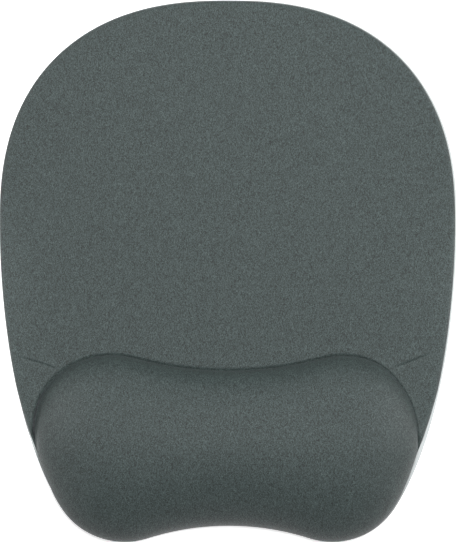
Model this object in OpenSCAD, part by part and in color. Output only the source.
// Mouse pad with a built-in wrist rest. One stretch-knit cover runs over a flat foam panel, where
// the mouse moves, and over a dog-bone gel cushion, where the wrist lies. Both stand on a pale
// non-slip sheet. Millimetres, +X to the user's right, +Y away from the user, +Z up, with the
// origin under the middle of the pad, on the surface that it lies on.

/* [Pad outline] */
// Greatest width, across the mouse area
pad_w = 220; // [200:1:264]
// Length, from the far edge to the front lobes
pad_l = 261; // [220:1:313]
// Distance from the far edge to the widest line
far_l = 107; // [90:1:120]
// Squareness of the far edge: 2 is an ellipse, more is squarer
far_square = 2.4; // [2:0.1:3]
// Width across the two front lobes
front_w = 172; // [150:1:184]
// Radius of the front lobes
front_r = 36; // [30:0.5:40]
// Depth of the hollow between the front lobes
front_dip = 7.8; // [4:0.2:12]
// Lean of the flank where it runs into a front lobe, in degrees
flank_lean = 33; // [25:1:36]
// Length of straight pull on the flank below the widest line
flank_pull = 48; // [35:1:60]
// Length of straight pull on the flank above the front lobe
lobe_pull = 38; // [25:1:45]

/* [Cushion] */
// Height of the cushion's crown above the desk
rest_h = 24; // [18:0.5:30]
// Length of the cushion, from its back lobes to the front of the pad
rest_l = 89.5; // [80:0.5:108]
// Radius of the cushion's back corners
back_r = 37.5; // [30:0.5:40]
// Depth of the hollow between the back lobes
back_dip = 7; // [4:0.2:12]
// Width of the wing beside the cushion's widest place, where it ends
wing_tip = 3.3; // [2:0.1:8]
// Height of the upright wall round the cushion's foot
wall_h = 3; // [1.5:0.1:5]
// Squareness of the crown: 2 is an ellipse, more is flatter on top with steeper sides
crown_square = 1.85; // [1.6:0.05:3]

/* [Thicknesses] */
// Non-slip sheet
sheet_t = 1.6; // [1:0.1:3]
// Adhesive between the sheet and what stands on it
glue_t = 0.2; // [0.1:0.05:0.4]
// Foam panel under the mouse area
panel_t = 2.4; // [2:0.1:6]
// Stretch-knit cover with its backing
cover_t = 0.8; // [0.5:0.05:1.2]
// Film of the gel pouch
film_t = 0.25; // [0.15:0.05:0.5]

/* [Edges] */
// How far the cover's edge stays inside the edge of the non-slip sheet
hem_in = 0.3; // [0.1:0.1:2]
// How much further it is pulled in beside the cushion, where the sheet shows as a pale strip
flank_tuck = 0.9; // [0:0.1:2]
// Length of flank, before and behind the cushion's widest place, over which it is pulled in
tuck_l = 27; // [10:1:40]
// How far the adhesive stays inside the edge of the non-slip sheet
glue_in = 1; // [0.5:0.1:3]
// Radius of the cover round the panel's edges
edge_r = 2.2; // [1.6:0.1:3]
// How far the crease presses the two layers of cover into each other
crease_press = 0.3; // [0.2:0.05:0.5]

/* [Hidden] */

FINE = 48;         // steps along each arc before an outline is spaced out evenly
SHEET_N = 151;     // points on half of a flat sheet's outline
FORM_N = 43;       // points on half of a solid form's outline, odd so that its ends close
ROUND_STEPS = 4;   // facets round the panel's edge
CROWN_STEPS = 7;   // facets from the cushion's wall to its crown
CROWN_END = 84;    // where the crown turns flat, in degrees of its quarter turn
OVER = 1;          // how far a cutting form reaches past what it cuts
wing_lean = 22;    // lean of the wing's end, in degrees, close to that of the flank it runs into

sheet_top = sheet_t;
foot_z = sheet_t + glue_t;                     // where the cover, the panel and the pouch stand
panel_top = foot_z + panel_t;
pad_top = panel_top + cover_t;                 // the surface that the mouse moves on
far_y = pad_l / 2;
front_y = -pad_l / 2;
wide_y = far_y - far_l;
front_lobe = [front_w / 2 - front_r, front_y + front_r];

// ---- paths and outlines -------------------------------------------------------------------

function unit(v) = v / norm(v);
function polar(r, a) = r * [cos(a), sin(a)];
function arc(c, r, a0, a1) = [for (i = [0:FINE]) c + polar(r, a0 + (a1 - a0) * i / FINE)];
function bezier(a, b, c, d) =
    [for (i = [0:FINE]) let (t = i / FINE, s = 1 - t)
        s * s * s * a + 3 * s * s * t * b + 3 * s * t * t * c + t * t * t * d];

// n equal steps along a path, whatever the spacing of its own points
function spaced(path, n) =
    let (run = [for (i = 0, s = 0; i < len(path);
                     i = i + 1, s = s + (i < len(path) ? norm(path[i] - path[i - 1]) : 0)) s],
         xs = [for (i = [0:len(path) - 1]) [run[i], path[i].x]],
         ys = [for (i = [0:len(path) - 1]) [run[i], path[i].y]],
         step = run[len(run) - 1] / n)
    [for (i = [0:n]) [lookup(i * step, xs), lookup(i * step, ys)]];

// A closed outline, clockwise from the middle of its far side, from the points of its right half
function mirrored(p) = concat(p, [for (i = [len(p) - 2:-1:1]) [-p[i].x, p[i].y]]);
function outline(half, n) = mirrored(spaced(half, n));

// The outline moved outwards by d, square to itself. A list d has one distance for each point.
function grown(ring, d) =
    let (n = len(ring))
    [for (i = [0:n - 1])
        let (v = unit(ring[(i + 1) % n] - ring[(i + n - 1) % n]))
        ring[i] + (is_list(d) ? d[i] : d) * [-v.y, v.x]];

// Two lobes of radius r, cx either side of the middle, are joined by a hollow arc that touches
// both and is dip deep. Its radius follows from that.
function hollow_r(cx, r, dip) = (cx * cx + (r - dip) * (r - dip) - r * r) / (2 * dip);
// Direction from the right lobe's middle to the hollow arc's middle, for a hollow facing +Y
function hollow_a(cx, r, dip) = atan2(r - dip + hollow_r(cx, r, dip), -cx);

function flank() =
    let (wide = [pad_w / 2, wide_y], low = front_lobe + polar(front_r, -flank_lean))
    bezier(wide, wide - [0, flank_pull],
           low + lobe_pull * [sin(flank_lean), cos(flank_lean)], low);

// Right half of the pad: the far edge, the flank, the front lobe and half of the front hollow
function pad_half() =
    let (a = hollow_a(front_lobe.x, front_r, front_dip),
         hr = hollow_r(front_lobe.x, front_r, front_dip))
    concat(
        [for (i = [0:FINE]) let (t = 90 * (1 - i / FINE), e = 2 / far_square)
            [pad_w / 2 * pow(cos(t), e), wide_y + far_l * pow(sin(t), e)]],
        flank(),
        arc(front_lobe, front_r, -flank_lean, -a),
        arc([0, front_lobe.y - front_r + front_dip - hr], hr, 180 - a, 90));

// Right lobe at the back of the cushion: its side stays wing_tip inside the cover's edge
back_lobe =
    let (y = front_y + rest_l - back_r, side = lookup(-y, [for (p = flank()) [-p.y, p.x]]))
    [side - hem_in - flank_tuck - wing_tip - back_r, y];

// Edge of the cover round the whole pad: just inside the sheet, and pulled in along the flanks
function cover_outline() =
    let (ring = outline(pad_half(), FORM_N))
    grown(ring, [for (p = ring)
        -hem_in - flank_tuck * max(0, 1 - pow((p.y - back_lobe.y) / tuck_l, 2))]);

// Direction in which the cushion's straight side faces, touching the back and the front lobe
side_a = let (d = back_lobe - front_lobe)
    atan2(d.y, d.x) - 90 - asin((back_r - front_r + hem_in) / norm(d));

// The back of the cushion's right half, from the middle of the hollow round the lobe to angle a
function cushion_back(a) =
    let (up = hollow_a(back_lobe.x, back_r, back_dip),
         hr = hollow_r(back_lobe.x, back_r, back_dip))
    concat(arc([0, back_lobe.y + back_r - back_dip + hr], hr, -90, up - 180),
           arc(back_lobe, back_r, up, a));

// Right half of the cushion: its back, its side, and the front lobe and hollow of the cover
function cushion_half() =
    let (r = front_r - hem_in, a = hollow_a(front_lobe.x, r, front_dip),
         hr = hollow_r(front_lobe.x, r, front_dip))
    concat(cushion_back(side_a),
           arc(front_lobe, r, side_a, -a),
           arc([0, front_lobe.y - r + front_dip - hr], hr, 180 - a, 90));

// Outline of all that lies in front of the crease: it leaves the cushion's side at its widest and
// runs out across the pad's edge, wing_lean from straight ahead, to a corner past the front. The
// far and the near half of its points meet at that corner, so that its ends close there.
function fore_outline() =
    let (ahead = back_lobe.y - front_y + 2 * edge_r,
         out = back_lobe + [back_r + ahead * tan(wing_lean), -ahead],
         far_n = (FORM_N - 1) / 2, near_n = FORM_N - far_n)
    mirrored(concat(spaced(concat(cushion_back(0), [out]), far_n),
                    [for (i = [near_n - 1:-1:0]) [out.x * i / near_n, out.y]]));

// ---- forms ----------------------------------------------------------------------------------

// A solid through rings of equal length, from its foot to its top. Each end is closed by a
// ladder of faces between the far and the near half of its ring.
module loft(rings) {
    n = len(rings[0]);
    top = (len(rings) - 1) * n;
    half = n / 2;
    rungs = [for (i = [0:half - 2])
        let (a = (i + 1 - (half - 1) / 2 + n) % n, b = (a + n - 1) % n,
             c = (half - b + n) % n, d = (half - a + n) % n) [b, a, d, c]];
    polyhedron(
        points = [for (r = rings) each r],
        faces = concat(
            [for (q = rungs) [q[3], q[2], q[1], q[0]]],
            [for (q = rungs) [for (k = q) top + k]],
            [for (k = [0:len(rings) - 2], i = [0:n - 1])
                let (a = k * n + i, b = k * n + (i + 1) % n) each [[a, b, b + n], [a, b + n, a + n]]]),
        convexity = 6);
}

function raised(ring, z) = [for (p = ring) [p.x, p.y, z]];

// The whole pad as a slab with a rounded upper edge, skin inside the cover's outer surface
module pad_form(skin, foot) {
    ring = cover_outline();
    r = edge_r - skin;
    loft(concat(
        [raised(grown(ring, -skin), foot)],
        [for (i = [0:ROUND_STEPS]) let (a = 90 * i / ROUND_STEPS)
            raised(grown(ring, -skin - r * (1 - cos(a))), pad_top - skin - r * (1 - sin(a)))]));
}

// What cuts the panel off along the crease, with a lip that rounds its upper edge
module fore_form(skin) {
    ring = fore_outline();
    r = edge_r - skin;
    gap = skin - crease_press;
    loft(concat(
        [raised(grown(ring, gap), foot_z - 2 * OVER)],
        [for (i = [0:ROUND_STEPS - 1]) let (a = 90 * i / ROUND_STEPS)
            raised(grown(ring, gap + r * (1 - cos(a))), pad_top - skin - r * (1 - sin(a)))],
        [raised(grown(ring, gap + r), pad_top - skin + r * (1 - cos(90 / ROUND_STEPS)))],
        [raised(grown(ring, gap + r), pad_top + OVER)]));
}

module panel_form(skin, foot) {
    difference() {
        pad_form(skin, foot);
        fore_form(skin);
    }
}

// The cushion, skin inside the cover's outer surface: an upright wall, then a crown that closes
// on a straight spine between the lobes
module cushion_form(skin, foot) {
    ring = grown(outline(cushion_half(), FORM_N), -skin);
    wall_z = foot_z + wall_h;
    crown = rest_h - skin - wall_z;
    spine_x = (back_lobe.x + front_lobe.x) / 2;
    spine_y = (front_y + front_dip + back_lobe.y + back_r - back_dip) / 2;
    loft(concat(
        [raised(ring, foot)],
        [for (i = [0:CROWN_STEPS])
            let (a = CROWN_END * i / CROWN_STEPS, e = 2 / crown_square,
                 u = pow(cos(a), e), z = wall_z + crown * pow(sin(a), e))
            [for (p = ring)
                let (s = [min(max(p.x, -spine_x), spine_x), spine_y], q = s + (p - s) * u)
                [q.x, q.y, z]]]));
}

// ---- pieces ---------------------------------------------------------------------------------

// Pale sheet that grips the desk. Its fair flank shows where the cover pulls in beside the wings.
module non_slip_sheet() {
    color("#dde1df") linear_extrude(sheet_t) polygon(outline(pad_half(), SHEET_N));
}

// Adhesive over the whole sheet
module adhesive_film() {
    color("#e8e2c8") translate([0, 0, sheet_top]) linear_extrude(glue_t)
        polygon(grown(outline(pad_half(), SHEET_N), -glue_in));
}

// Foam under the mouse area and the wings
module mousing_panel() {
    color("#34383a") panel_form(cover_t, foot_z);
}

// Lower film of the gel pouch, bonded to the sheet
module pouch_base_film() {
    color("#c9d2d6") translate([0, 0, foot_z]) linear_extrude(film_t)
        polygon(grown(outline(cushion_half(), FORM_N), -cover_t));
}

// Gel that carries the wrist
module gel_core() {
    color("#8fb3bd") cushion_form(cover_t + film_t, foot_z + film_t);
}

// Upper film of the pouch, sealed to the lower one round its foot
module pouch_top_film() {
    color("#c9d2d6") difference() {
        cushion_form(cover_t, foot_z + film_t);
        cushion_form(cover_t + film_t, foot_z - OVER);
    }
}

// One continuous stretch-knit cover. It runs down to the sheet all round, and goes down to it
// and back up along the crease between the panel and the cushion.
module fabric_cover() {
    color("#545d5c") difference() {
        union() {
            panel_form(0, foot_z);
            cushion_form(0, foot_z);
        }
        panel_form(cover_t, foot_z - OVER);
        cushion_form(cover_t, foot_z - OVER);
    }
}

non_slip_sheet();
adhesive_film();
mousing_panel();
pouch_base_film();
gel_core();
pouch_top_film();
fabric_cover();
